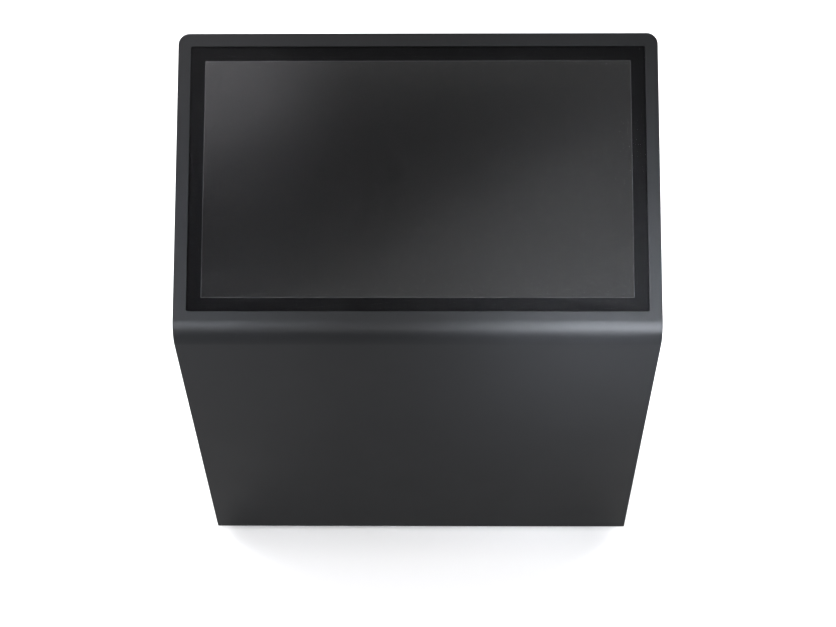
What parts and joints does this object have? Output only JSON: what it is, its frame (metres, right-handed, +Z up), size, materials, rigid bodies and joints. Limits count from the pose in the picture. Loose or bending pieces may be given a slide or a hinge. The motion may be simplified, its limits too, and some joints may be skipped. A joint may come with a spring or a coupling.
{
  "type": "touchscreen kiosk",
  "caption": "Floor-standing kiosk of folded black steel with a landscape touchscreen in a tilted head, a leaning leg and a lockable rear service door.",
  "frame": {"origin": "on the floor, at the middle of the footprint box", "axes": "+Z up, +X to the right of a visitor who faces the screen, -Y towards that visitor"},
  "size_m": [1.06, 0.5566, 1.2925],
  "materials": {
    "powder_coat": "satin black powder coat with a fine texture",
    "zinc_plate": "bright zinc plated steel",
    "hinge_pin": "polished steel",
    "lock_chrome": "polished chrome",
    "foot": "moulded pad on a zinc plated stem",
    "grommet_rubber": "matt rubber",
    "bond_foam": "closed-cell bonding tape",
    "screen_glass": "toughened glass with a black printed border",
    "module_metal": "matt black pressed steel",
    "display_cell": "anti-glare display, switched off",
    "tray_aluminium": "bare pressed aluminium",
    "light_guide": "clear acrylic",
    "circuit_board": "green solder mask",
    "speaker": "black cone and frame",
    "fan_plastic": "black glass-filled plastic",
    "black_plastic": "fine-textured black plastic",
    "rocker": "glossy red",
    "cable_sheath": "matt black sheath"
  },
  "bodies": {
    "cabinet": {"front_panel": "powder_coat", "side_panel_left": "powder_coat", "side_panel_right": "powder_coat", "head_top_panel": "powder_coat", "head_back_cover": "powder_coat", "rear_top_panel": "powder_coat", "rear_bottom_panel": "powder_coat", "base_plate": "powder_coat", "hinge_frame_leaf_lower": "zinc_plate", "hinge_frame_leaf_upper": "zinc_plate", "lock_strike": "zinc_plate", "base_rail_left": "zinc_plate", "base_rail_right": "zinc_plate", "head_rail_bottom": "zinc_plate", "head_rail_top": "zinc_plate", "lcd_bracket_left": "zinc_plate", "lcd_bracket_right": "zinc_plate", "equipment_shelf": "zinc_plate", "jam_nut_front_left": "zinc_plate", "jam_nut_front_right": "zinc_plate", "jam_nut_rear_left": "zinc_plate", "jam_nut_rear_right": "zinc_plate", "hinge_pin_lower": "hinge_pin", "hinge_pin_upper": "hinge_pin", "cable_grommet": "grommet_rubber", "glass_tape": "bond_foam", "touch_glass": "screen_glass", "lcd_bezel": "module_metal", "lcd_cell": "display_cell", "backlight_tray": "tray_aluminium", "power_supply": "tray_aluminium", "light_guide": "light_guide", "display_board": "circuit_board", "touch_controller": "circuit_board", "ir_receiver": "circuit_board", "speaker_left": "speaker", "speaker_right": "speaker", "fan_frame_left": "fan_plastic", "fan_frame_right": "fan_plastic", "power_inlet": "black_plastic", "button_body": "black_plastic", "io_block": "black_plastic", "media_player": "black_plastic", "mains_cable": "cable_sheath", "player_power_cable": "cable_sheath", "display_cable": "cable_sheath"},
    "service_door": {"service_door": "powder_coat", "hinge_door_leaf_lower": "zinc_plate", "hinge_door_leaf_upper": "zinc_plate", "lock_housing": "lock_chrome"},
    "door_lock": {"lock_plug": "lock_chrome", "lock_cam": "zinc_plate"},
    "power_rocker": {"power_rocker": "rocker"},
    "power_button": {"power_button": "black_plastic"},
    "fan_rotor_left": {"fan_rotor_left": "fan_plastic"},
    "fan_rotor_right": {"fan_rotor_right": "fan_plastic"},
    "levelling_foot_front_left": {"levelling_foot_front_left": "foot"},
    "levelling_foot_front_right": {"levelling_foot_front_right": "foot"},
    "levelling_foot_rear_left": {"levelling_foot_rear_left": "foot"},
    "levelling_foot_rear_right": {"levelling_foot_rear_right": "foot"}
  },
  "joints": [
    {"name": "door_hinge", "type": "hinge", "parent": "cabinet", "child": "service_door", "pos_m": [0.4671, 0.18093, 0.45299], "axis": [0, 0.1908, -0.9816], "range_deg": [0, 110]},
    {"name": "lock_turn", "type": "hinge", "parent": "service_door", "child": "door_lock", "pos_m": [-0.428, 0.16542, 0.44997], "axis": [0, -0.9816, -0.1908], "range_deg": [0, 90]},
    {"name": "power_rocker_tip", "type": "hinge", "parent": "cabinet", "child": "power_rocker", "pos_m": [0.33, 0.24384, 0.0832], "axis": [1, 0, 0], "range_deg": [0, 20]},
    {"name": "power_button_press", "type": "slide", "parent": "cabinet", "child": "power_button", "axis": [0, -0.9816, -0.1908], "range_m": [0, 0.003], "stiffness_N_per_m": 500, "springref_m": -0.001},
    {"name": "fan_spin_left", "type": "hinge", "parent": "cabinet", "child": "fan_rotor_left", "pos_m": [-0.17, 0.07413, 0.90389], "axis": [0, 0.9816, 0.1908], "continuous": true},
    {"name": "fan_spin_right", "type": "hinge", "parent": "cabinet", "child": "fan_rotor_right", "pos_m": [0.17, 0.07413, 0.90389], "axis": [0, 0.9816, 0.1908], "continuous": true},
    {"name": "foot_screw_front_left", "type": "slide", "parent": "cabinet", "child": "levelling_foot_front_left", "axis": [0, 0, -1], "range_m": [0, 0.015]},
    {"name": "foot_screw_front_right", "type": "slide", "parent": "cabinet", "child": "levelling_foot_front_right", "axis": [0, 0, -1], "range_m": [0, 0.015]},
    {"name": "foot_screw_rear_left", "type": "slide", "parent": "cabinet", "child": "levelling_foot_rear_left", "axis": [0, 0, -1], "range_m": [0, 0.015]},
    {"name": "foot_screw_rear_right", "type": "slide", "parent": "cabinet", "child": "levelling_foot_rear_right", "axis": [0, 0, -1], "range_m": [0, 0.015]}
  ]
}
